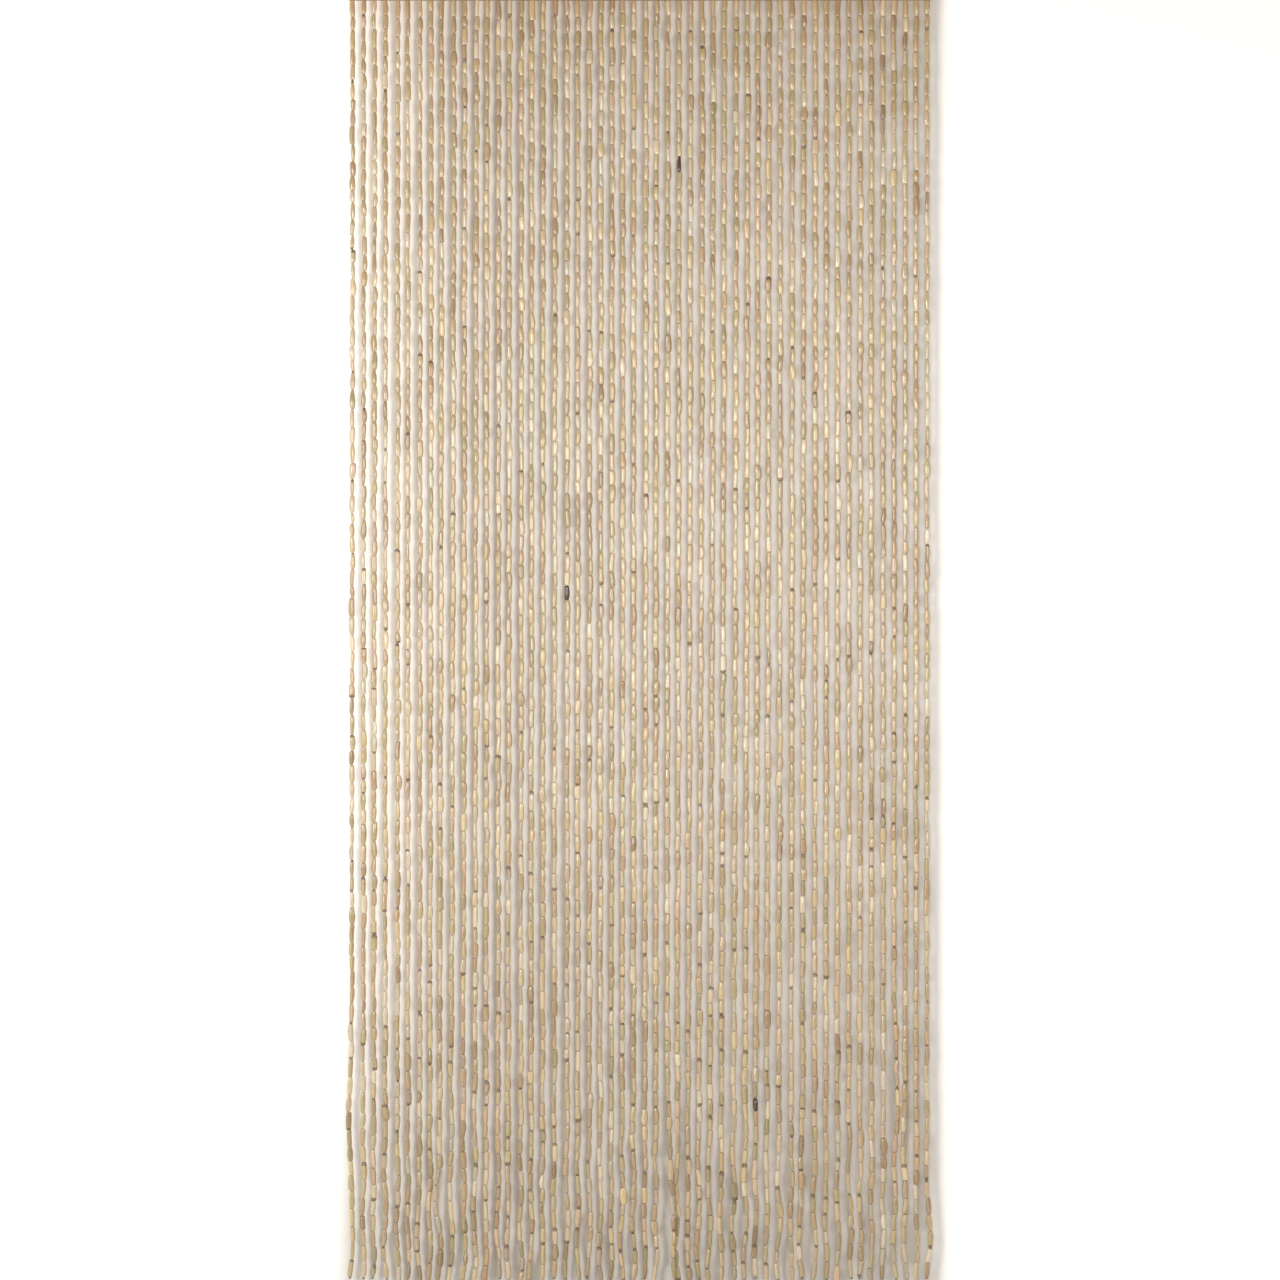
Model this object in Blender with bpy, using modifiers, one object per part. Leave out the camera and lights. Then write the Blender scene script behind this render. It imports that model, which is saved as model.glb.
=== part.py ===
"""Bead curtain: fifty-two strands of slim wooden beads under a wooden heading rail.

Metres, +Z up. The origin is the middle of the rail's back face, which lies
against the wall or door frame, and the curtain's front looks along -Y.
"""

import math
import random
from collections import namedtuple

import bmesh
import bpy

# Heading rail: a planed batten with softened edges.
RAIL_LENGTH = 0.900
RAIL_DEPTH = 0.018
RAIL_HEIGHT = 0.022
RAIL_EDGE_RADIUS = 0.0015
RAIL_EDGE_SEGMENTS = 2

# The comb's heading strip, where the threads' tied ends lie side by side under the rail.
FITTING_GAP = 0.0003
STRIP_DEPTH = 0.004
STRIP_HEIGHT = 0.003
STRIP_OVERHANG = 0.003

# Strands: evenly drilled, but not quite, and cut to nearly one length.
STRAND_COUNT = 52
STRAND_SPAN = 0.888
STRAND_RADIUS = 0.0034
STRAND_DROP = 1.977
DROP_SCATTER = 0.005
HOLE_SCATTER = 0.0012
SCATTER_SEED = 52

# How a strand sways: hardly at all above CALM_DEPTH, and more and more below it.
CALM_DEPTH = 1.55
UPPER_SWING = 0.0004
LOWER_SWING = 0.0042
SWING_SHARE_FORWARD = 0.4
LEAST_WAVE = 0.10
MOST_WAVE = 0.17
LEAN_SCATTER = 0.0012

# Depths below the rail at which a tooth has a ring, as shares of its length:
# far apart while it hangs straight, close together where it sways.
RING_SHARES = (0.0, 0.30, 0.58, 0.75, 0.81, 0.845, 0.875, 0.90, 0.92, 0.94, 0.96, 0.98, 1.0)

# How far whole groups of strands have drifted sideways at their lower ends.
Drift = namedtuple("Drift", "strand sideways")
DRIFTS = (
    Drift(strand=0, sideways=-0.0030),
    Drift(strand=5, sideways=0.0000),
    Drift(strand=9, sideways=-0.0045),
    Drift(strand=14, sideways=-0.0015),
    Drift(strand=22, sideways=-0.0005),
    Drift(strand=27, sideways=-0.0020),
    Drift(strand=31, sideways=-0.0070),
    Drift(strand=38, sideways=-0.0035),
    Drift(strand=43, sideways=-0.0005),
    Drift(strand=51, sideways=0.0005),
)

# Single strands that swing well out of line: how deep the bend's middle is,
# how far it spreads up and down, and how far the strand moves there.
Bend = namedtuple("Bend", "strand depth spread sideways forward")
BENDS = (
    Bend(strand=0, depth=1.73, spread=0.09, sideways=-0.0040, forward=0.000),
    Bend(strand=0, depth=1.85, spread=0.05, sideways=0.0030, forward=0.001),
    Bend(strand=6, depth=1.90, spread=0.06, sideways=-0.0035, forward=0.002),
    Bend(strand=8, depth=1.84, spread=0.04, sideways=-0.0050, forward=0.006),
    Bend(strand=10, depth=1.88, spread=0.05, sideways=0.0040, forward=0.002),
    Bend(strand=28, depth=1.98, spread=0.22, sideways=0.0120, forward=0.009),
    Bend(strand=32, depth=1.80, spread=0.12, sideways=-0.0020, forward=0.002),
    Bend(strand=40, depth=1.86, spread=0.07, sideways=-0.0050, forward=0.003),
    Bend(strand=44, depth=1.93, spread=0.05, sideways=0.0045, forward=0.003),
    Bend(strand=48, depth=1.68, spread=0.10, sideways=0.0050, forward=0.000),
    Bend(strand=49, depth=1.76, spread=0.11, sideways=-0.0030, forward=0.007),
    Bend(strand=51, depth=1.92, spread=0.035, sideways=0.0070, forward=0.002),
)

RAIL_BOTTOM = -RAIL_HEIGHT / 2
STRIP_TOP = RAIL_BOTTOM - FITTING_GAP
STRAND_PLANE = -RAIL_DEPTH / 2

Strand = namedtuple("Strand", "number hole drop lean wave phase liveliness")


def remove_everything():
    for thing in list(bpy.data.objects):
        bpy.data.objects.remove(thing)


def new_collection(name):
    collection = bpy.data.collections.new(name)
    bpy.context.scene.collection.children.link(collection)
    return collection


def wood(name, colour, roughness):
    material = bpy.data.materials.new(name)
    material.use_nodes = True
    shader = material.node_tree.nodes["Principled BSDF"]
    shader.inputs["Base Color"].default_value = (*colour, 1.0)
    shader.inputs["Roughness"].default_value = roughness
    shader.inputs["Metallic"].default_value = 0.0
    return material


def box(name, length, depth, height, centre, collection):
    """A box with its sizes in its mesh, so that a later Bevel isn't stretched."""
    mesh = bpy.data.meshes.new(name)
    shape = bmesh.new()
    bmesh.ops.create_cube(shape, size=1.0)
    bmesh.ops.scale(shape, vec=(length, depth, height), verts=shape.verts)
    shape.to_mesh(mesh)
    shape.free()
    thing = bpy.data.objects.new(name, mesh)
    thing.location = centre
    collection.objects.link(thing)
    return thing


def heading_rail(collection):
    rail = box(
        "heading_rail", RAIL_LENGTH, RAIL_DEPTH, RAIL_HEIGHT, (0.0, -RAIL_DEPTH / 2, 0.0), collection
    )
    edges = rail.modifiers.new("softened_edges", "BEVEL")
    edges.width = RAIL_EDGE_RADIUS
    edges.segments = RAIL_EDGE_SEGMENTS
    rail.data.materials.append(wood("rail_wood", (0.50, 0.34, 0.19), 0.55))
    return rail


def group_drift(number):
    """The sideways drift of strand `number`, read between the rows of DRIFTS."""
    for left, right in zip(DRIFTS, DRIFTS[1:]):
        if number <= right.strand:
            share = (number - left.strand) / (right.strand - left.strand)
            return left.sideways + share * (right.sideways - left.sideways)
    return DRIFTS[-1].sideways


def draw_strands():
    """Each strand's hole, length and habits, the same ones every time."""
    chance = random.Random(SCATTER_SEED)
    strands = []
    for number in range(STRAND_COUNT):
        even = STRAND_SPAN * (number / (STRAND_COUNT - 1) - 0.5)
        strands.append(
            Strand(
                number=number,
                hole=even + chance.uniform(-HOLE_SCATTER, HOLE_SCATTER),
                drop=STRAND_DROP + chance.uniform(-DROP_SCATTER, DROP_SCATTER),
                lean=group_drift(number) + chance.uniform(-LEAN_SCATTER, LEAN_SCATTER),
                wave=chance.uniform(LEAST_WAVE, MOST_WAVE),
                phase=chance.uniform(0.0, math.tau),
                liveliness=chance.uniform(0.4, 1.0),
            )
        )
    return strands


def place_on(strand, depth):
    """Where the strand's thread is, this far below the rail."""
    loose = max(0.0, (depth - CALM_DEPTH) / (STRAND_DROP - CALM_DEPTH))
    swing = UPPER_SWING + (LOWER_SWING - UPPER_SWING) * loose**1.5
    turn = math.tau * depth / strand.wave + strand.phase
    sideways = strand.lean * (depth / STRAND_DROP) ** 1.5
    sideways += strand.liveliness * swing * math.sin(turn)
    forward = strand.liveliness * swing * SWING_SHARE_FORWARD * math.sin(0.7 * turn)
    for bend in BENDS:
        if bend.strand == strand.number:
            share = math.exp(-(((depth - bend.depth) / bend.spread) ** 2))
            sideways += bend.sideways * share
            forward += bend.forward * share
    return strand.hole + sideways, STRAND_PLANE - forward, RAIL_BOTTOM - depth


def strand_teeth(strands, collection):
    """All strands as plain round teeth, rooted in the middle of the heading strip."""
    curve = bpy.data.curves.new("strand_teeth", "CURVE")
    curve.dimensions = "3D"
    curve.bevel_depth = STRAND_RADIUS
    curve.bevel_resolution = 1
    curve.use_fill_caps = True
    root = FITTING_GAP + STRIP_HEIGHT / 2
    for strand in strands:
        spline = curve.splines.new("POLY")
        spline.points.add(len(RING_SHARES) - 1)
        for point, share in zip(spline.points, RING_SHARES):
            depth = root + share * (strand.drop - root)
            point.co = (*place_on(strand, depth), 1.0)
    tubes = bpy.data.objects.new("strand_tubes", curve)
    collection.objects.link(tubes)
    bpy.context.view_layer.update()
    ready = tubes.evaluated_get(bpy.context.evaluated_depsgraph_get())
    mesh = bpy.data.meshes.new_from_object(ready)
    teeth = bpy.data.objects.new("strand_teeth", mesh)
    teeth.matrix_world = tubes.matrix_world
    collection.objects.link(teeth)
    bpy.data.objects.remove(tubes)
    shape = bmesh.new()
    shape.from_mesh(mesh)
    bmesh.ops.remove_doubles(shape, verts=shape.verts, dist=1e-6)
    shape.to_mesh(mesh)
    shape.free()
    teeth.hide_render = True
    teeth.display_type = "WIRE"
    return teeth


def strand_comb(collection, helpers):
    """One comb: the heading strip and every strand that hangs from it."""
    comb = box(
        "strand_comb",
        STRAND_SPAN + 2 * (STRAND_RADIUS + STRIP_OVERHANG),
        STRIP_DEPTH,
        STRIP_HEIGHT,
        (0.0, STRAND_PLANE, STRIP_TOP - STRIP_HEIGHT / 2),
        collection,
    )
    union = comb.modifiers.new("strands", "BOOLEAN")
    union.operation = "UNION"
    union.solver = "EXACT"
    union.object = strand_teeth(draw_strands(), helpers)
    comb.data.materials.append(wood("bead_wood", (0.66, 0.50, 0.31), 0.35))
    return comb


remove_everything()
curtain = new_collection("bead_curtain")
cutters = new_collection("cutters")
heading_rail(curtain)
strand_comb(curtain, cutters)
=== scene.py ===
"""Bead curtain: strands of slim lacquered wooden beads hanging from a wooden heading rail.

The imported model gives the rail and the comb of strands. The rail keeps its shape and
gets its wood, and every strand takes the place of its tooth, bead by bead.
"""

import math
import random
from collections import namedtuple

import bpy
import numpy as np
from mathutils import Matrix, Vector


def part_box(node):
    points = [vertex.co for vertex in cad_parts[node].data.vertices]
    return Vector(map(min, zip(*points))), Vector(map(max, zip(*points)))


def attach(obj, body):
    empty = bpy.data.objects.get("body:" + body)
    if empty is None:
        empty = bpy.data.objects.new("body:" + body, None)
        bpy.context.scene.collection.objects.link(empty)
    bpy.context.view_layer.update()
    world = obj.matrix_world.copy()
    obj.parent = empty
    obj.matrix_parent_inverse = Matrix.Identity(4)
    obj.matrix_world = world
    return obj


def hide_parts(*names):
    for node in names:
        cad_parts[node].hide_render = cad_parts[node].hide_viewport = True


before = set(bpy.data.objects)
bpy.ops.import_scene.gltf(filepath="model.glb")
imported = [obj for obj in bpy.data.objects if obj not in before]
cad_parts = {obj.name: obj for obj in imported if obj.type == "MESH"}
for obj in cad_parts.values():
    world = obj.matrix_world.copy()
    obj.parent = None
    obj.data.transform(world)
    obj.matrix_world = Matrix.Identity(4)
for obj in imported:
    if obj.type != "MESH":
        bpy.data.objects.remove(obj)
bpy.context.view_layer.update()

# ---------------------------------------------------------------------------
# Heading rail
# A planed softwood batten as long as the curtain is wide, its edges eased with
# a block plane, wiped with clear satin lacquer. The strands are tied into it.
# ---------------------------------------------------------------------------


class Wire:
    """An output of a shader node. Sums on it add Math nodes, and node() adds any other."""

    def __init__(self, tree, socket=None):
        self.tree = tree
        self.socket = socket

    def node(self, kind, settings=None, sockets=None, out=0):
        """Adds a node, makes its settings, then fills or links its sockets."""
        made = self.tree.nodes.new(kind)
        for name, value in (settings or {}).items():
            if name == "stops":
                set_stops(made.color_ramp.elements, value)
            else:
                setattr(made, name, value)
        plugs = {plug.identifier: plug for plug in made.inputs}
        for name, value in (sockets or {}).items():
            if isinstance(value, Wire):
                self.tree.links.new(value.socket, plugs[name])
            else:
                plugs[name].default_value = value
        outputs = {plug.identifier: plug for plug in made.outputs}
        return Wire(self.tree, outputs[out] if out in outputs else made.outputs[out])

    def sum_with(self, operation, first, second):
        sockets = {"Value": first, "Value_001": second}
        return self.node("ShaderNodeMath", {"operation": operation}, sockets)

    def __add__(self, other):
        return self.sum_with("ADD", self, other)

    def __radd__(self, other):
        return self.sum_with("ADD", other, self)

    def __sub__(self, other):
        return self.sum_with("SUBTRACT", self, other)

    def __rsub__(self, other):
        return self.sum_with("SUBTRACT", other, self)

    def __mul__(self, other):
        return self.sum_with("MULTIPLY", self, other)

    def __rmul__(self, other):
        return self.sum_with("MULTIPLY", other, self)

    def kept(self):
        """The value held between 0 and 1."""
        return self.node("ShaderNodeClamp", None, {"Value": self})

    def mix(self, colour_a, colour_b, blend="MIX"):
        """colour_a turning into colour_b as this value goes from 0 to 1."""
        settings = {"data_type": "RGBA", "blend_type": blend}
        sockets = {"Factor_Float": self, "A_Color": colour_a, "B_Color": colour_b}
        return self.node("ShaderNodeMix", settings, sockets, out="Result_Color")


def set_stops(elements, stops):
    """Gives a colour ramp these (place, colour) stops."""
    while len(elements) > 1:
        elements.remove(elements[-1])
    elements[0].position, elements[0].color = stops[0][0], (*stops[0][1], 1.0)
    for place, colour in stops[1:]:
        elements.new(place).color = (*colour, 1.0)


def new_finish(name):
    """An empty material with a Principled shader: the material, its wires and the shader."""
    finish = bpy.data.materials.new(name)
    finish.use_nodes = True
    tree = finish.node_tree
    return finish, Wire(tree), tree.nodes["Principled BSDF"]


def link(wire, shader, socket):
    """Leads a wire to one of the shader's sockets."""
    wire.tree.links.new(wire.socket, shader.inputs[socket])


RAIL_PALE = (0.56, 0.39, 0.22)
RAIL_DARK = (0.36, 0.22, 0.11)
RAIL_GRAIN_STRETCH = (1.6, 60.0, 60.0)
RAIL_GRAIN_DEPTH = 0.00025
RAIL_GRAIN_STRENGTH = 0.5
RING_SCALE = 3.0
RING_WAVINESS = 0.6
RING_CONTRAST = 2.6
RAIL_FIBRE_SCALE = 22.0
RAIL_FIBRE_CONTRAST = 1.2
PALE_SHARE = 1.4
SATIN_ROUGHNESS = 0.42
SATIN_UNEVENNESS = 0.22

rail_wood, wires, shader = new_finish("lacquered_softwood")
place = wires.node("ShaderNodeTexCoord", out="Object")
along_grain = wires.node(
    "ShaderNodeVectorMath", {"operation": "MULTIPLY"}, {"Vector": place, "Vector_001": RAIL_GRAIN_STRETCH}
)
rings = wires.node(
    "ShaderNodeTexNoise",
    None,
    {"Vector": along_grain, "Scale": RING_SCALE, "Detail": 3.0, "Distortion": RING_WAVINESS},
)
fibres = wires.node(
    "ShaderNodeTexNoise", None, {"Vector": along_grain, "Scale": RAIL_FIBRE_SCALE, "Detail": 4.0}
)
figure = (rings * RING_CONTRAST + fibres * RAIL_FIBRE_CONTRAST - PALE_SHARE).kept()
link(figure.mix((*RAIL_PALE, 1.0), (*RAIL_DARK, 1.0)), shader, "Base Color")
link(SATIN_ROUGHNESS + fibres * SATIN_UNEVENNESS, shader, "Roughness")
raised = wires.node(
    "ShaderNodeBump",
    None,
    {"Strength": RAIL_GRAIN_STRENGTH, "Distance": RAIL_GRAIN_DEPTH, "Height": fibres},
)
link(raised, shader, "Normal")

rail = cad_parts["heading_rail"]
rail.data.materials.clear()
rail.data.materials.append(rail_wood)

# ---------------------------------------------------------------------------
# Strand routes
# Every thread leaves a hole in the rail's underside and hangs free. The threads
# hang all but straight for most of the drop, and sway and cross near the hem.
# ---------------------------------------------------------------------------
STRAND_COUNT = 52
STRAND_SPAN = 0.888
STRAND_DROP = 1.977
DROP_SCATTER = 0.005
HOLE_SCATTER = 0.0012
SCATTER_SEED = 52

# How a strand sways: hardly at all above CALM_DEPTH, and more and more below it.
CALM_DEPTH = 1.55
UPPER_SWING = 0.0004
LOWER_SWING = 0.0042
SWING_SHARE_FORWARD = 0.4
LEAST_WAVE = 0.10
MOST_WAVE = 0.17
LEAN_SCATTER = 0.0012

# How far whole groups of strands have drifted sideways at their lower ends.
Drift = namedtuple("Drift", "strand sideways")
DRIFTS = (
    Drift(strand=0, sideways=-0.0030),
    Drift(strand=5, sideways=0.0000),
    Drift(strand=9, sideways=-0.0045),
    Drift(strand=14, sideways=-0.0015),
    Drift(strand=22, sideways=-0.0005),
    Drift(strand=27, sideways=-0.0020),
    Drift(strand=31, sideways=-0.0070),
    Drift(strand=38, sideways=-0.0035),
    Drift(strand=43, sideways=-0.0005),
    Drift(strand=51, sideways=0.0005),
)

# Single strands that swing well out of line: how deep the bend's middle is,
# how far it spreads up and down, and how far the strand moves there.
Bend = namedtuple("Bend", "strand depth spread sideways forward")
BENDS = (
    Bend(strand=0, depth=1.73, spread=0.09, sideways=-0.0040, forward=0.000),
    Bend(strand=0, depth=1.85, spread=0.05, sideways=0.0030, forward=0.001),
    Bend(strand=6, depth=1.90, spread=0.06, sideways=-0.0035, forward=0.002),
    Bend(strand=8, depth=1.84, spread=0.04, sideways=-0.0050, forward=0.006),
    Bend(strand=10, depth=1.88, spread=0.05, sideways=0.0040, forward=0.002),
    Bend(strand=28, depth=1.98, spread=0.22, sideways=0.0120, forward=0.009),
    Bend(strand=32, depth=1.80, spread=0.12, sideways=-0.0020, forward=0.002),
    Bend(strand=40, depth=1.86, spread=0.07, sideways=-0.0050, forward=0.003),
    Bend(strand=44, depth=1.93, spread=0.05, sideways=0.0045, forward=0.003),
    Bend(strand=48, depth=1.68, spread=0.10, sideways=0.0050, forward=0.000),
    Bend(strand=49, depth=1.76, spread=0.11, sideways=-0.0030, forward=0.007),
    Bend(strand=51, depth=1.92, spread=0.035, sideways=0.0070, forward=0.002),
)

rail_low, rail_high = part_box("heading_rail")
RAIL_BOTTOM = rail_low.z
STRAND_PLANE = (rail_low.y + rail_high.y) / 2

Strand = namedtuple("Strand", "number hole drop lean wave phase liveliness")


def group_drift(number):
    """The sideways drift of strand `number`, read between the rows of DRIFTS."""
    for left, right in zip(DRIFTS, DRIFTS[1:]):
        if number <= right.strand:
            share = (number - left.strand) / (right.strand - left.strand)
            return left.sideways + share * (right.sideways - left.sideways)
    return DRIFTS[-1].sideways


def draw_strands():
    """Each strand's hole, length and habits, the same ones every time."""
    chance = random.Random(SCATTER_SEED)
    drawn = []
    for number in range(STRAND_COUNT):
        even = STRAND_SPAN * (number / (STRAND_COUNT - 1) - 0.5)
        drawn.append(
            Strand(
                number=number,
                hole=even + chance.uniform(-HOLE_SCATTER, HOLE_SCATTER),
                drop=STRAND_DROP + chance.uniform(-DROP_SCATTER, DROP_SCATTER),
                lean=group_drift(number) + chance.uniform(-LEAN_SCATTER, LEAN_SCATTER),
                wave=chance.uniform(LEAST_WAVE, MOST_WAVE),
                phase=chance.uniform(0.0, math.tau),
                liveliness=chance.uniform(0.4, 1.0),
            )
        )
    return drawn


def place_on(strand, depth):
    """Where the strand's thread is, this far below the rail."""
    loose = max(0.0, (depth - CALM_DEPTH) / (STRAND_DROP - CALM_DEPTH))
    swing = UPPER_SWING + (LOWER_SWING - UPPER_SWING) * loose**1.5
    turn = math.tau * depth / strand.wave + strand.phase
    sideways = strand.lean * (depth / STRAND_DROP) ** 1.5
    sideways += strand.liveliness * swing * math.sin(turn)
    forward = strand.liveliness * swing * SWING_SHARE_FORWARD * math.sin(0.7 * turn)
    for bend in BENDS:
        if bend.strand == strand.number:
            share = math.exp(-(((depth - bend.depth) / bend.spread) ** 2))
            sideways += bend.sideways * share
            forward += bend.forward * share
    return strand.hole + sideways, STRAND_PLANE - forward, RAIL_BOTTOM - depth


# ---------------------------------------------------------------------------
# Beads
# Slim spindles turned and whittled from offcuts of light wood, each a little
# different, bored lengthwise, dipped in clear lacquer and strung end to end.
# ---------------------------------------------------------------------------
BEAD_SIDES = 10
BEAD_RINGS = (0.0, 0.035, 0.12, 0.25, 0.40, 0.58, 0.74, 0.87, 0.965, 1.0)
BEAD_MEAN_LENGTH = 0.0248
BEAD_LENGTH_SCATTER = 0.0032
BEAD_LEAST_LENGTH = 0.017
BEAD_MOST_LENGTH = 0.032
BEAD_LEAST_RADIUS = 0.0030
BEAD_MEAN_RADIUS = 0.0040
BEAD_MOST_RADIUS = 0.0048
BEAD_RADIUS_SCATTER = 0.0004
BORE_OFFSET = 0.00055
BEAD_JOINT = 0.0004
FIRST_BEAD = 0.0004
TAIL_LENGTH = 0.0036

# Least and most of what the knife leaves different on every bead: how far along its
# belly sits, how full it is, how thick its ends are, how oval and how three-sided its
# section is, and how far it is bowed. END_ROUNDING is the width left at the very ends.
BELLY_AT = (0.36, 0.64)
FULLNESS = (0.45, 0.95)
WAIST = (0.48, 0.86)
OVALNESS = (0.02, 0.22)
THREE_SIDEDNESS = (0.0, 0.09)
BOW = (0.0, 0.0010)
END_ROUNDING = 0.86
DENTS = 3
DENT_AT = (0.1, 0.9)
DENT_DEPTH = 0.09
DENT_REACH = 0.22
DENT_SPREAD = 0.5

# Where the bore was burnt through, the bead has a dark tip, more often lower down. Its
# reach is in millimetres, and NO_TIP is a reach too short to show.
TIPS_AT_RAIL = 0.04
TIPS_AT_HEM = 0.26
TIP_REACH = (3.5, 6.5)
NO_TIP = -3.0
TIP_RAGGEDNESS = 3.0
TIP_FADE = 0.6
TIP_STRENGTH = 0.8

# One bead in some fifteen hundred is near black all over. The tones of the others end
# at PALE_TONES, and SAME_WOOD is the share of beads cut from the same piece as the last.
DARK_BEADS = 0.0007
PALE_TONES = 0.985
SAME_WOOD = 0.22
SAME_WOOD_SPREAD = 0.05
BEAD_SHADE = 0.99
# Painted shade: the beads are a little darker towards the hem.
HEM_PAINTED_SHADE = 0.03
SHADE_SCATTER = 0.13

# The figure is laid out in millimetres of bead, squeezed along the grain: fine fibres
# and slow clouds inside each bead, and a mottling that runs through all of them.
GRAIN_SQUEEZE = 0.07
GRAIN_SHIFT = 400
FIBRE_SCALE = 1.7
CLOUD_SCALE = 0.35
MOTTLE_SCALE = 240.0
FIBRE_SHADE = 0.45
CLOUD_SHADE = 0.55
MOTTLE_SHADE = 0.22
FIBRE_RELIEF = 0.3
MOTTLE_RELIEF = 0.45
RELIEF_STRENGTH = 0.6
RELIEF_DEPTH = 0.0004
DUSKY_FADE = 0.8
DUSKY_STRENGTH = 0.12
LACQUER_ROUGHNESS = 0.12
FIBRE_ROUGHNESS = 0.16
BURNT_ROUGHNESS = 0.2
COAT_WEIGHT = 0.8
COAT_ROUGHNESS = 0.10

# Tones from cream to honey and tan by their place on the ramp, and the dark beads' last.
BEAD_WOODS = (
    (0.00, (0.78, 0.66, 0.48)),
    (0.14, (0.75, 0.60, 0.39)),
    (0.30, (0.68, 0.51, 0.28)),
    (0.46, (0.62, 0.49, 0.26)),
    (0.58, (0.70, 0.52, 0.35)),
    (0.72, (0.62, 0.44, 0.26)),
    (0.86, (0.54, 0.42, 0.22)),
    (0.95, (0.57, 0.38, 0.21)),
    (0.985, (0.50, 0.34, 0.19)),
    (1.00, (0.11, 0.065, 0.035)),
)
SCORCHED = (0.17, 0.095, 0.045)

# Painted shade: beads and board are darker and warmer just under the rail, fading out below it.
UNDER_RAIL_SHADE_TINT = (0.95, 0.90, 0.84)
UNDER_RAIL_SHADE_DROP = 0.42


def bead_finish():
    """Wood in many tones under one clear lacquer, darker round the bored ends, partly as painted shade
    where the beads meet, and with painted shade just under the rail.
    """
    finish, wires, shader = new_finish("lacquered_bead_wood")
    tone = wires.node("ShaderNodeAttribute", {"attribute_name": "tone"}, out="Fac")
    shade = wires.node("ShaderNodeAttribute", {"attribute_name": "shade"}, out="Fac")
    from_end = wires.node("ShaderNodeAttribute", {"attribute_name": "from_end"}, out="Fac")
    tip = wires.node("ShaderNodeAttribute", {"attribute_name": "tip"}, out="Fac")
    fibre_place = wires.node("ShaderNodeAttribute", {"attribute_name": "fibre_place"}, out="Vector")
    fibres = wires.node(
        "ShaderNodeTexNoise", None, {"Vector": fibre_place, "Scale": FIBRE_SCALE, "Detail": 4.0}
    )
    clouds = wires.node(
        "ShaderNodeTexNoise", None, {"Vector": fibre_place, "Scale": CLOUD_SCALE, "Detail": 2.0}
    )
    place = wires.node("ShaderNodeTexCoord", out="Object")
    mottle = wires.node("ShaderNodeTexNoise", None, {"Vector": place, "Scale": MOTTLE_SCALE, "Detail": 2.0})
    wood = wires.node("ShaderNodeValToRGB", {"stops": BEAD_WOODS}, {"Fac": tone}, out="Color")
    height = wires.node("ShaderNodeSeparateXYZ", None, {"Vector": place}, out="Z")
    # Painted shade under the rail: the wood's colour is multiplied by a darker warm tint that fades out
    # downwards.
    under_rail_shade = (1.0 + (height - RAIL_BOTTOM) * (1 / UNDER_RAIL_SHADE_DROP)).kept()
    shaded_under_rail = (under_rail_shade * under_rail_shade).mix(wood, (*UNDER_RAIL_SHADE_TINT, 1.0), "MULTIPLY")
    figure = (fibres - 0.5) * FIBRE_SHADE + (clouds - 0.5) * CLOUD_SHADE + (mottle - 0.5) * MOTTLE_SHADE
    light = shade + figure
    lit = wires.node("ShaderNodeCombineColor", None, {"Red": light, "Green": light, "Blue": light})
    grained = wires.node(
        "ShaderNodeMix",
        {"data_type": "RGBA", "blend_type": "MULTIPLY"},
        {"Factor_Float": 1.0, "A_Color": shaded_under_rail, "B_Color": lit},
        out="Result_Color",
    )
    # Painted shade where the beads meet, partly scorch from the bore: each bead darkens toward the scorched
    # brown within about a millimetre of its ends.
    dusky = (1.0 - from_end * DUSKY_FADE).kept() * DUSKY_STRENGTH
    ringed = dusky.mix(grained, (*SCORCHED, 1.0))
    burnt = ((tip + (fibres - 0.5) * TIP_RAGGEDNESS) * TIP_FADE).kept() * TIP_STRENGTH
    link(burnt.mix(ringed, (*SCORCHED, 1.0)), shader, "Base Color")
    link(LACQUER_ROUGHNESS + fibres * FIBRE_ROUGHNESS + burnt * BURNT_ROUGHNESS, shader, "Roughness")
    relief = fibres * FIBRE_RELIEF + clouds + mottle * MOTTLE_RELIEF
    raised = wires.node(
        "ShaderNodeBump", None, {"Strength": RELIEF_STRENGTH, "Distance": RELIEF_DEPTH, "Height": relief}
    )
    link(raised, shader, "Normal")
    shader.inputs["Coat Weight"].default_value = COAT_WEIGHT
    shader.inputs["Coat Roughness"].default_value = COAT_ROUGHNESS
    return finish


def bead_depths(strand, chance):
    """The depths of the joints between beads, from just under the rail to the last bead's end."""
    depths = [FIRST_BEAD]
    last = strand.drop - TAIL_LENGTH
    while depths[-1] < last:
        length = chance.normal(BEAD_MEAN_LENGTH, BEAD_LENGTH_SCATTER)
        depths.append(depths[-1] + float(np.clip(length, BEAD_LEAST_LENGTH, BEAD_MOST_LENGTH)))
    depths = np.array(depths)
    return FIRST_BEAD + (depths - FIRST_BEAD) * (last - FIRST_BEAD) / (depths[-1] - FIRST_BEAD)


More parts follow.
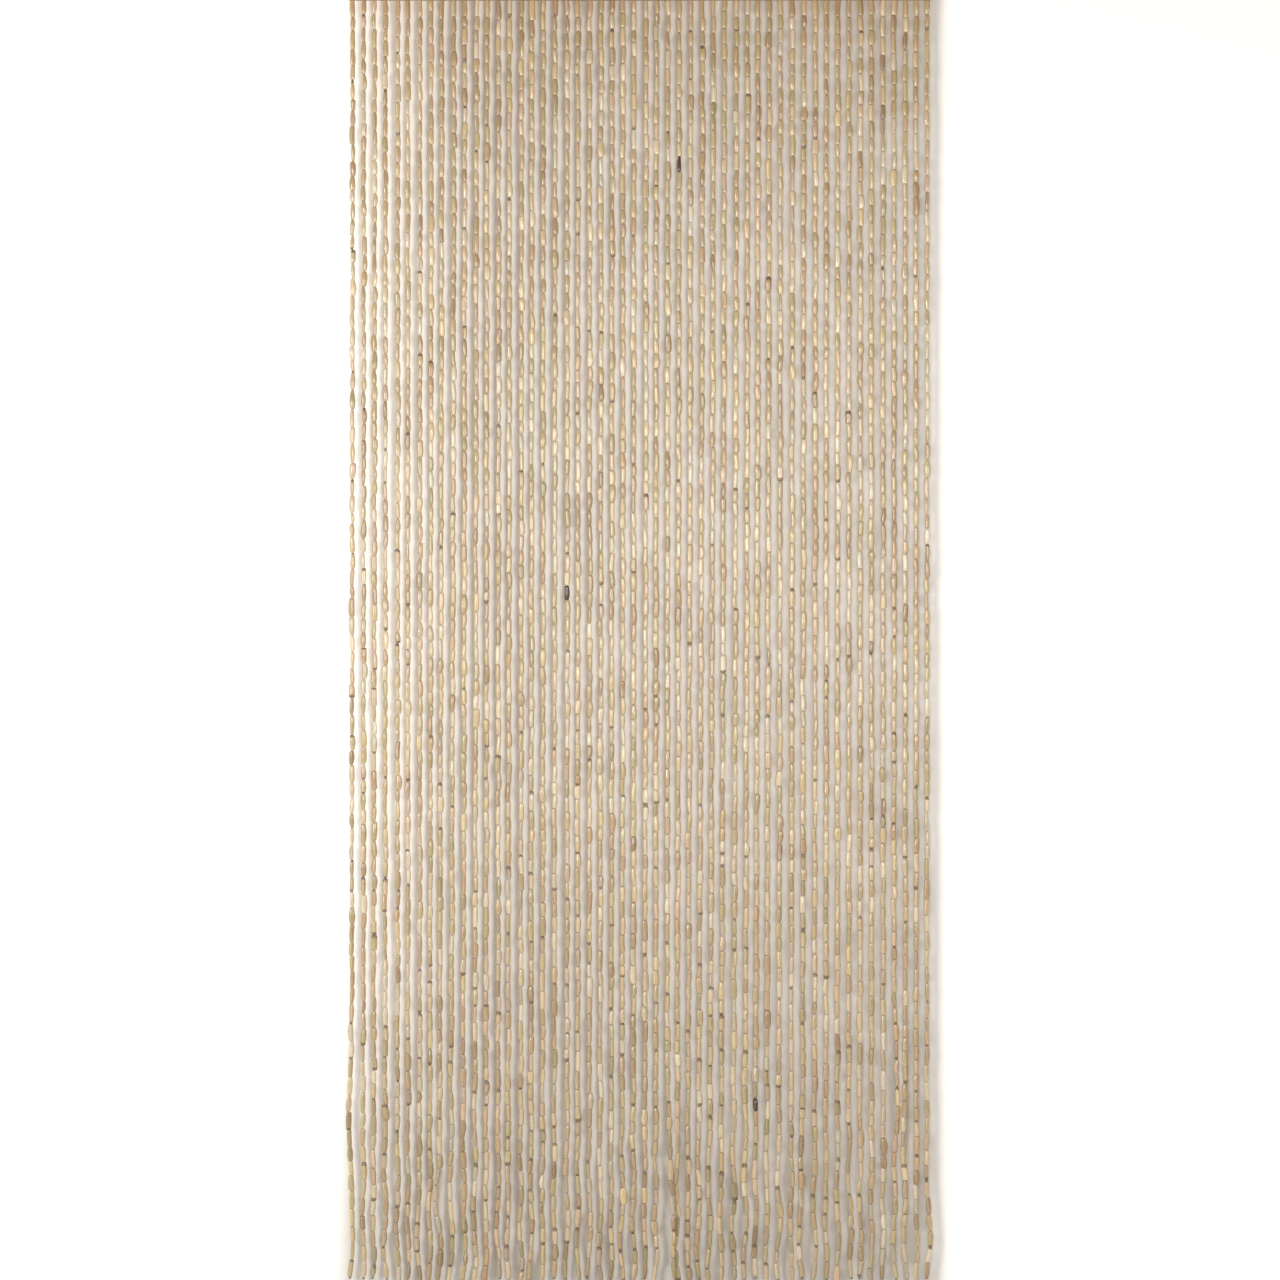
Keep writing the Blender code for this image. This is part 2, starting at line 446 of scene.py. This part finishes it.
def bead_shapes(joints, chance):
    """Every bead's ring points, as an array of beads, rings, sides and x, y, z, with each
    point's place in the grain, each ring's run along its bead and each bead's length."""
    count = len(joints) - 1
    start, end = joints[:-1], joints[1:]
    length = np.linalg.norm(end - start, axis=1)[:, None]
    axis = (end - start) / length
    across = np.cross(axis, (0.0, 1.0, 0.0))
    across /= np.linalg.norm(across, axis=1)[:, None]
    over = np.cross(axis, across)

    share = np.array(BEAD_RINGS)[None, :]
    belly = chance.uniform(*BELLY_AT, (count, 1))
    fullness = chance.uniform(*FULLNESS, (count, 1))
    waist = chance.uniform(*WAIST, (count, 1))
    radius = chance.normal(BEAD_MEAN_RADIUS, BEAD_RADIUS_SCATTER, (count, 1))
    radius = radius.clip(BEAD_LEAST_RADIUS, BEAD_MOST_RADIUS)
    swell = np.sin(np.pi * share ** (np.log(0.5) / np.log(belly))).clip(0) ** fullness
    outline = waist + (1 - waist) * swell
    outline[:, [0, -1]] *= END_ROUNDING
    outline *= radius

    turn = np.arange(BEAD_SIDES) * math.tau / BEAD_SIDES
    oval_at = chance.uniform(0, math.tau, (count, 1))
    oval = chance.uniform(*OVALNESS, (count, 1))
    knife_at = chance.uniform(0, math.tau, (count, 1))
    knife = chance.uniform(*THREE_SIDEDNESS, (count, 1))
    section = 1 + oval * np.cos(2 * (turn - oval_at)) + knife * np.cos(3 * (turn - knife_at))

    bow = chance.uniform(*BOW, (count, 1)) * np.sin(np.pi * share)
    bow_at = chance.uniform(0, math.tau, (count, 1))
    upper = chance.normal(0.0, BORE_OFFSET, (2, count, 1)).clip(-2 * BORE_OFFSET, 2 * BORE_OFFSET)
    lower = chance.normal(0.0, BORE_OFFSET, (2, count, 1)).clip(-2 * BORE_OFFSET, 2 * BORE_OFFSET)
    slant_side, slant_rise = upper + (lower - upper) * share
    reach = outline[:, :, None] * section[:, None, :]
    for _ in range(DENTS):
        place = chance.uniform(*DENT_AT, (count, 1, 1))
        faces = chance.uniform(0, math.tau, (count, 1, 1))
        depth = chance.uniform(-DENT_DEPTH, DENT_DEPTH, (count, 1, 1))
        along = np.exp(-(((share[:, :, None] - place) / DENT_REACH) ** 2))
        reach = reach * (1 + depth * along * (DENT_SPREAD + np.cos(turn - faces)))
    side = reach * np.cos(turn) + (bow * np.cos(bow_at) + slant_side)[:, :, None]
    rise = reach * np.sin(turn) + (bow * np.sin(bow_at) + slant_rise)[:, :, None]
    run = BEAD_JOINT / 2 + share * (length - BEAD_JOINT)
    points = start[:, None, None, :] + run[:, :, None, None] * axis[:, None, None, :]
    points = points + side[..., None] * across[:, None, None, :]
    points = points + rise[..., None] * over[:, None, None, :]
    fibre_place = np.stack(
        [side, rise, np.broadcast_to((run * GRAIN_SQUEEZE)[:, :, None], side.shape)], axis=-1
    )
    fibre_place = fibre_place * 1000 + chance.uniform(-GRAIN_SHIFT, GRAIN_SHIFT, (count, 1, 1, 3))
    return points, fibre_place, run, length


def bead_tones(depths, chance):
    """Each bead's wood and shade: neighbours are often cut from one piece, and towards the hem
    the shade scatters more and is a little darker as painted shade."""
    count = len(depths) - 1
    tone = chance.uniform(0, 1, count)
    same = chance.uniform(0, 1, count) < SAME_WOOD
    for number in range(1, count):
        if same[number]:
            tone[number] = tone[number - 1] + chance.uniform(-SAME_WOOD_SPREAD, SAME_WOOD_SPREAD)
    near_hem = (depths[:-1] / STRAND_DROP) ** 6
    uneven = chance.uniform(-SHADE_SCATTER, SHADE_SCATTER, count) * (1 + near_hem)
    # The hem's beads are darkened a little: painted shade.
    shade = BEAD_SHADE - HEM_PAINTED_SHADE * near_hem + uneven
    dark = chance.uniform(0, 1, count) < DARK_BEADS
    return np.where(dark, 1.0, tone.clip(0, PALE_TONES)), shade


def bead_tips(depths, run, length, chance):
    """How far inside its bead's dark tip each ring lies, in millimetres, or outside it."""
    count = len(depths) - 1
    odds = TIPS_AT_RAIL + (TIPS_AT_HEM - TIPS_AT_RAIL) * (depths[:-1] / STRAND_DROP) ** 3
    dark = chance.uniform(0, 1, count) < odds
    reach = np.where(dark, chance.uniform(*TIP_REACH, count), NO_TIP)
    upper_end = chance.uniform(0, 1, count) < 0.5
    from_tip = np.where(upper_end[:, None], run, length - run) * 1000
    return reach[:, None] - from_tip


# ---------------------------------------------------------------------------
# Thread and knots
# Waxed linen thread runs through every bore, up into its hole in the rail, where
# it is tied off. A small knot with a short cut tail stops the lowest bead.
# ---------------------------------------------------------------------------
THREAD_SIDES = 5
THREAD_RADIUS = 0.00045
KNOT_RADIUS = 0.0006
KNOT_SIZE = 0.00062
KNOT_POINTS = 26
KNOT_LIFT = 1.2
KNOT_ABOVE_END = 0.6
THREAD_COLOUR = (0.52, 0.43, 0.29)
THREAD_SHADOW = (0.30, 0.23, 0.14)
THREAD_TWIST_SCALE = 1400.0
THREAD_ROUGHNESS = 0.7


def thread_finish():
    """Waxed linen: matt, with darker twists along it."""
    finish, wires, shader = new_finish("waxed_linen_thread")
    place = wires.node("ShaderNodeTexCoord", out="Object")
    twist = wires.node(
        "ShaderNodeTexNoise", None, {"Vector": place, "Scale": THREAD_TWIST_SCALE, "Detail": 1.0}
    )
    link(twist.mix((*THREAD_COLOUR, 1.0), (*THREAD_SHADOW, 1.0)), shader, "Base Color")
    shader.inputs["Roughness"].default_value = THREAD_ROUGHNESS
    return finish


def tube(points, radius, closed=False):
    """Corners and faces of a round tube along points, joined end to end where it is closed."""
    points = np.asarray(points)
    if closed:
        ahead = np.roll(points, -1, axis=0) - np.roll(points, 1, axis=0)
    else:
        ahead = np.gradient(points, axis=0)
    ahead /= np.linalg.norm(ahead, axis=1)[:, None]
    guide = np.where(np.abs(ahead[:, 1:2]) < 0.9, [[0.0, 1.0, 0.0]], [[1.0, 0.0, 0.0]])
    across = np.cross(ahead, guide)
    across /= np.linalg.norm(across, axis=1)[:, None]
    over = np.cross(ahead, across)
    turn = np.arange(THREAD_SIDES) * math.tau / THREAD_SIDES
    ring = np.cos(turn)[:, None] * across[:, None] + np.sin(turn)[:, None] * over[:, None]
    corners = points[:, None] + radius * ring
    return corners.reshape(-1, 3), ring_faces(len(points), THREAD_SIDES, closed)


def ring_faces(rings, sides, closed=False):
    """Four-cornered faces between rings of points, facing outwards."""
    ring, side = np.meshgrid(np.arange(rings if closed else rings - 1), np.arange(sides), indexing="ij")
    after = (ring + 1) % rings
    beside = (side + 1) % sides
    faces = [ring * sides + side, ring * sides + beside, after * sides + beside, after * sides + side]
    return np.stack(faces, axis=-1).reshape(-1, 4)


def knot_line(centre, size):
    """A trefoil: the path of a thread pulled into a single knot."""
    turn = np.arange(KNOT_POINTS) * math.tau / KNOT_POINTS
    line = np.stack(
        [
            np.sin(turn) + 2 * np.sin(2 * turn),
            np.cos(turn) - 2 * np.cos(2 * turn),
            -KNOT_LIFT * np.sin(3 * turn),
        ],
        axis=1,
    )
    return np.asarray(centre) + size * line


# ---------------------------------------------------------------------------
# Strands
# A strand is its thread, its knot and some eighty beads in one piece, strung on
# the bench and then tied into the rail beside its neighbours.
# ---------------------------------------------------------------------------
DECLARED_STRANDS = 40
BEAD_SEED = 417
BAKE_MAP = "OFBake"

# The bake's map: a margin round each bead's cell, the height in it that the bead's ends
# take up, and the strip at the map's side for thread and knot.
CELL_EDGE = 0.05
CAP_SHARE = 0.10
CAP_MARGIN = 0.8
CAPS_ACROSS = (0.25, 0.75)
THREAD_STRIP = 0.02
STRIP_EDGE = 0.2

bead_wood = bead_finish()
linen = thread_finish()


def bead_map(count, grid):
    """Each bead's place on the bake's map: a cell of its own, sides below, ends above."""
    cell = (1 - THREAD_STRIP) / grid
    column, row = np.arange(count) % grid, np.arange(count) // grid
    corner = np.stack([column, row], axis=1) * np.array([cell, 1 / grid])
    size = np.array([cell, 1 / grid]) * (1 - 2 * CELL_EDGE)
    corner = corner + np.array([cell, 1 / grid]) * CELL_EDGE
    ring, side = np.meshgrid(np.arange(len(BEAD_RINGS) - 1), np.arange(BEAD_SIDES), indexing="ij")
    share = np.array(BEAD_RINGS)
    low, high = share[ring] * (1 - CAP_SHARE * 2), share[ring + 1] * (1 - CAP_SHARE * 2)
    left, right = side / BEAD_SIDES, (side + 1) / BEAD_SIDES
    round_the_face = ((left, low), (right, low), (right, high), (left, high))
    sides = np.stack([np.stack(corner_at, -1) for corner_at in round_the_face], axis=-2).reshape(-1, 2)
    turn = np.arange(BEAD_SIDES) * math.tau / BEAD_SIDES
    disc = np.stack([np.cos(turn), np.sin(turn)], axis=1) * CAP_SHARE * CAP_MARGIN
    upper_at, lower_at = ((across, 1 - CAP_SHARE) for across in CAPS_ACROSS)
    caps = np.concatenate([disc[::-1] + upper_at, disc + lower_at])
    return corner[:, None] + np.concatenate([sides, caps])[None] * size


def cord_map(corner_count):
    """The faces of thread and knot, one above the other in the strip beside the beads' cells."""
    face, turn = np.arange(corner_count) // 4, np.arange(corner_count) % 4
    from_side = THREAD_STRIP * (STRIP_EDGE + (1 - 2 * STRIP_EDGE) * (turn // 2))
    up = (face + (turn % 3 > 0)) / (corner_count / 4 + 1)
    return np.stack([1 - from_side, up], axis=1)


def new_mesh(name, corners, corner_list, face_sizes):
    """A mesh from its corners, the corners of every face in one row, and the faces' sizes."""
    mesh = bpy.data.meshes.new(name)
    mesh.vertices.add(len(corners))
    mesh.vertices.foreach_set("co", corners.astype(np.float32).ravel())
    mesh.loops.add(len(corner_list))
    mesh.loops.foreach_set("vertex_index", corner_list.astype(np.int32))
    mesh.polygons.add(len(face_sizes))
    face_starts = np.r_[0, np.cumsum(face_sizes)[:-1]]
    mesh.polygons.foreach_set("loop_start", face_starts.astype(np.int32))
    return mesh


def string_strand(strand):
    """One strand as a mesh, with the points that its thread follows."""
    chance = np.random.default_rng(BEAD_SEED + strand.number)
    depths = bead_depths(strand, chance)
    joints = np.array([place_on(strand, depth) for depth in depths])
    beads, fibre_place, run, length = bead_shapes(joints, chance)
    tone, shade = bead_tones(depths, chance)
    tip = bead_tips(depths, run, length, chance)
    from_end = np.minimum(run, length - run) * 1000
    count, rings, sides = beads.shape[:3]
    per_bead = rings * sides
    first_cord = count * per_bead

    route = np.concatenate([[place_on(strand, 0.0)], joints, [place_on(strand, strand.drop)]])
    thread, thread_faces = tube(route, THREAD_RADIUS)
    stop = place_on(strand, strand.drop - TAIL_LENGTH * KNOT_ABOVE_END)
    knot, knot_faces = tube(knot_line(stop, KNOT_SIZE), KNOT_RADIUS, True)

    corners = np.concatenate([beads.reshape(-1, 3), thread, knot])
    cord_corners = len(corners) - first_cord
    bead_sides = ring_faces(rings, sides)[None] + (np.arange(count) * per_bead)[:, None, None]
    caps = np.stack([np.arange(sides)[::-1], per_bead - sides + np.arange(sides)])
    bead_caps = caps[None] + (np.arange(count) * per_bead)[:, None, None]
    ends = np.arange(THREAD_SIDES)
    thread_ends = np.stack([ends[::-1], len(thread) - THREAD_SIDES + ends])
    cords = np.concatenate([thread_faces + first_cord, knot_faces + first_cord + len(thread)])

    corner_list = [
        np.concatenate([bead_sides.reshape(count, -1), bead_caps.reshape(count, -1)], axis=1).ravel(),
        cords.ravel(),
        (thread_ends + first_cord).ravel(),
    ]
    face_sizes = [
        np.tile(np.r_[np.full(len(bead_sides[0]), 4), np.full(2, sides)], count),
        np.full(len(cords), 4),
        np.full(2, THREAD_SIDES),
    ]
    bead_faces = len(face_sizes[0])
    corner_list, face_sizes = np.concatenate(corner_list), np.concatenate(face_sizes)

    mesh = new_mesh(f"strand_{strand.number + 1:02d}", corners, corner_list, face_sizes)
    mesh.materials.append(bead_wood)
    mesh.materials.append(linen)
    wood_or_linen = (np.arange(len(face_sizes)) >= bead_faces).astype(np.int32)
    mesh.polygons.foreach_set("material_index", wood_or_linen)
    mesh.polygons.foreach_set("use_smooth", face_sizes == 4)

    grid = math.ceil(math.sqrt(count))
    bead_places = bead_map(count, grid).reshape(-1, 2)
    places = np.concatenate([bead_places, cord_map(len(corner_list) - len(bead_places))])
    bake_map = mesh.uv_layers.new(name=BAKE_MAP)
    bake_map.uv.foreach_set("vector", places.astype(np.float32).ravel())

    every_point = np.ones((1, rings, sides))
    point_values = {
        "tone": tone[:, None, None] * every_point,
        "shade": shade[:, None, None] * every_point,
        "from_end": from_end[:, :, None] * every_point,
        "tip": tip[:, :, None] * every_point,
    }
    for label, values in point_values.items():
        layer = mesh.attributes.new(label, "FLOAT", "POINT")
        layer.data.foreach_set("value", np.r_[values.ravel(), np.zeros(cord_corners)].astype(np.float32))
    layer = mesh.attributes.new("fibre_place", "FLOAT_VECTOR", "POINT")
    grain = np.r_[fibre_place.ravel(), np.zeros(cord_corners * 3)]
    layer.data.foreach_set("vector", grain.astype(np.float32))
    mesh.update()
    mesh.validate()
    return mesh, route


strands = draw_strands()
longest = sorted(strands, key=lambda strand: strand.drop)[-DECLARED_STRANDS:]
for strand in strands:
    mesh, route = string_strand(strand)
    piece = bpy.data.objects.new(mesh.name, mesh)
    bpy.context.scene.collection.objects.link(piece)
    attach(piece, "root")
    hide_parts("strand_comb")
    strand in longest

# ---------------------------------------------------------------------------
# Studio
# The curtain hangs on a plain pale board over a plain pale floor. The board's paint glows as painted light
# to either side of the curtain and behind its left part, and holds painted shade under the rail. A soft key
# lamp stands to the left and weaker ones all round.
# ---------------------------------------------------------------------------
BOARD_GAP = 0.007
STUDIO_HALF_WIDTH = 5.0
STUDIO_DEPTH = 9.0
BOARD_TOP = 3.0
FLOOR_DROP = 0.03
BOARD_COLOUR = (0.79, 0.755, 0.705)
BOARD_SHADED_UNDER_RAIL = (0.755, 0.695, 0.615)
BOARD_ROUGHNESS = 0.9
FLOOR_COLOUR = (0.78, 0.77, 0.75)
FLOOR_ROUGHNESS = 0.8

Lamp = namedtuple("Lamp", "name place aim size watts")
LAMPS = (
    Lamp("key_lamp", (-2.3, -2.9, -0.62), (0.0, 0.0, -0.74), (0.6, 1.1), 39.4),
    Lamp("front_lamp", (0.1, -1.6, -0.76), (0.1, 0.0, -0.76), (1.0, 0.8), 10.0),
    Lamp("fill_lamp", (1.9, -1.9, -0.76), (0.2, 0.0, -0.76), (0.9, 0.9), 11.0),
    Lamp("strip_lamp", (-2.1, -2.1, -1.05), (0.0, 0.0, -1.00), (0.12, 2.6), 14.0),
    Lamp("back_lamp", (0.9, 3.0, -0.40), (0.0, 0.0, -0.90), (1.2, 1.2), 12.0),
)

# The room gives the curtain little light, but looks bright itself.
ROOM_COLOUR = (1.0, 0.985, 0.96)
ROOM_LIGHT = 0.11
ROOM_SEEN = 0.62

# Painted light: the board's paint glows, starting behind the curtain's left part and full past both
# of its edges. Towards the hem the glow on the left part fades again, as painted shade.
GLOW_COLOUR = (1.0, 1.0, 0.98)
BOARD_GLOW = 0.50
LEFT_GLOW_FROM = -0.18
LEFT_GLOW_RISE = 0.31
LEFT_EDGE = -0.435
RIGHT_EDGE = 0.435
EDGE_RISE = 0.045
HEM_SHADE_FROM = -1.30
HEM_SHADE_RISE = 0.70
HEM_SHADE = 0.75

# Painted light: the floor glows more and more away from the curtain, before and behind it.
FLOOR_GLOW_COLOUR = (1.0, 0.99, 0.97)
FLOOR_GLOW = 0.30
FLOOR_GLOW_RISE = 0.12
FLOOR_GLOW_START = 0.05

# The camera looks straight at the curtain, from the rail's lower edge to the hem.
VIEW_DROP = 1.9733
VIEW_TOP = 0.0004
LENS = 85.0
SENSOR = 36.0

floor_level = RAIL_BOTTOM - STRAND_DROP - DROP_SCATTER - FLOOR_DROP


def stage_sheet(name, corners, finish):
    """A flat sheet that belongs to the studio and not to the curtain."""
    mesh = bpy.data.meshes.new(name)
    mesh.from_pydata(corners, [], [(0, 1, 2, 3)])
    mesh.materials.append(finish)
    sheet = bpy.data.objects.new(name, mesh)
    bpy.context.scene.collection.objects.link(sheet)
    return sheet


board_paint, wires, shader = new_finish("board_paint")
shader.inputs["Roughness"].default_value = BOARD_ROUGHNESS
shader.inputs["Emission Strength"].default_value = BOARD_GLOW
place = wires.node("ShaderNodeTexCoord", out="Object")
across = wires.node("ShaderNodeSeparateXYZ", None, {"Vector": place}, out="X")
height = wires.node("ShaderNodeSeparateXYZ", None, {"Vector": place}, out="Z")
# Painted shade: the board is darker and warmer just under the rail, with the same falloff as on the beads.
under_rail_shade = (1.0 + (height - RAIL_BOTTOM) * (1 / UNDER_RAIL_SHADE_DROP)).kept()
paint = (under_rail_shade * under_rail_shade).mix((*BOARD_COLOUR, 1.0), (*BOARD_SHADED_UNDER_RAIL, 1.0))
link(paint, shader, "Base Color")
left_rise = ((LEFT_GLOW_FROM - across) * (1 / LEFT_GLOW_RISE)).kept()
hem_shade = ((HEM_SHADE_FROM - height) * (1 / HEM_SHADE_RISE)).kept() * HEM_SHADE
left_edge = ((LEFT_EDGE - across) * (1 / EDGE_RISE)).kept()
right_edge = ((across - RIGHT_EDGE) * (1 / EDGE_RISE)).kept()
# Painted light: the mask of the board's glow.
glow = left_rise * left_rise * (1.0 - hem_shade) + left_edge * left_edge + right_edge * right_edge
link(glow.kept().mix((0.0, 0.0, 0.0, 1.0), (*GLOW_COLOUR, 1.0)), shader, "Emission Color")
behind = wires.node("ShaderNodeNewGeometry", out="Backfacing")
lamplight = wires.node("ShaderNodeLightPath", out="Is Shadow Ray")
clear = wires.node("ShaderNodeBsdfTransparent")
painted = Wire(wires.tree, shader.outputs["BSDF"])

# The board is painted on its front only. From behind it can be seen through, and
# the back lamp shines through it, so that the curtain's back can be looked at too.
one_sided = wires.node(
    "ShaderNodeMixShader",
    None,
    {"Fac": (behind + lamplight).kept(), "Shader": painted, "Shader_001": clear},
)
link(one_sided, wires.tree.nodes["Material Output"], "Surface")

floor_paint, wires, shader = new_finish("floor_paint")
shader.inputs["Base Color"].default_value = (*FLOOR_COLOUR, 1.0)
shader.inputs["Roughness"].default_value = FLOOR_ROUGHNESS
shader.inputs["Emission Strength"].default_value = FLOOR_GLOW
place = wires.node("ShaderNodeTexCoord", out="Object")
out_from_board = wires.node("ShaderNodeSeparateXYZ", None, {"Vector": place}, out="Y")
floor_glow = (out_from_board * out_from_board * FLOOR_GLOW_RISE - FLOOR_GLOW_START).kept()
link(floor_glow.mix((0.0, 0.0, 0.0, 1.0), (*FLOOR_GLOW_COLOUR, 1.0)), shader, "Emission Color")

board_y = rail_high.y + BOARD_GAP
stage_sheet(
    "studio_board",
    [
        (-STUDIO_HALF_WIDTH, board_y, floor_level),
        (STUDIO_HALF_WIDTH, board_y, floor_level),
        (STUDIO_HALF_WIDTH, board_y, BOARD_TOP),
        (-STUDIO_HALF_WIDTH, board_y, BOARD_TOP),
    ],
    board_paint,
)
stage_sheet(
    "studio_floor",
    [
        (-STUDIO_HALF_WIDTH, -STUDIO_DEPTH, floor_level),
        (STUDIO_HALF_WIDTH, -STUDIO_DEPTH, floor_level),
        (STUDIO_HALF_WIDTH, STUDIO_DEPTH, floor_level),
        (-STUDIO_HALF_WIDTH, STUDIO_DEPTH, floor_level),
    ],
    floor_paint,
)

for lamp in LAMPS:
    light = bpy.data.lights.new(lamp.name, "AREA")
    light.shape = "RECTANGLE"
    light.size, light.size_y = lamp.size
    light.energy = lamp.watts
    hung = bpy.data.objects.new(lamp.name, light)
    hung.location = lamp.place
    hung.rotation_euler = (Vector(lamp.aim) - Vector(lamp.place)).to_track_quat("-Z", "Y").to_euler()
    hung.visible_camera = False
    bpy.context.scene.collection.objects.link(hung)

world = bpy.data.worlds.new("studio_room")
world.use_nodes = True
room = world.node_tree.nodes["Background"]
room.inputs["Color"].default_value = (*ROOM_COLOUR, 1.0)
looked_at = Wire(world.node_tree).node("ShaderNodeLightPath", out="Is Camera Ray")
link(ROOM_LIGHT + looked_at * (ROOM_SEEN - ROOM_LIGHT), room, "Strength")
bpy.context.scene.world = world

camera = bpy.data.objects.new("camera", bpy.data.cameras.new("camera"))
camera.data.sensor_width = SENSOR
camera.data.lens = LENS
distance = VIEW_DROP * LENS / SENSOR
camera.location = (0.0, STRAND_PLANE - distance, RAIL_BOTTOM - VIEW_TOP - VIEW_DROP / 2)
camera.rotation_euler = (math.pi / 2, 0.0, 0.0)
bpy.context.scene.collection.objects.link(camera)
bpy.context.scene.camera = camera
bpy.context.scene.view_settings.view_transform = "Standard"
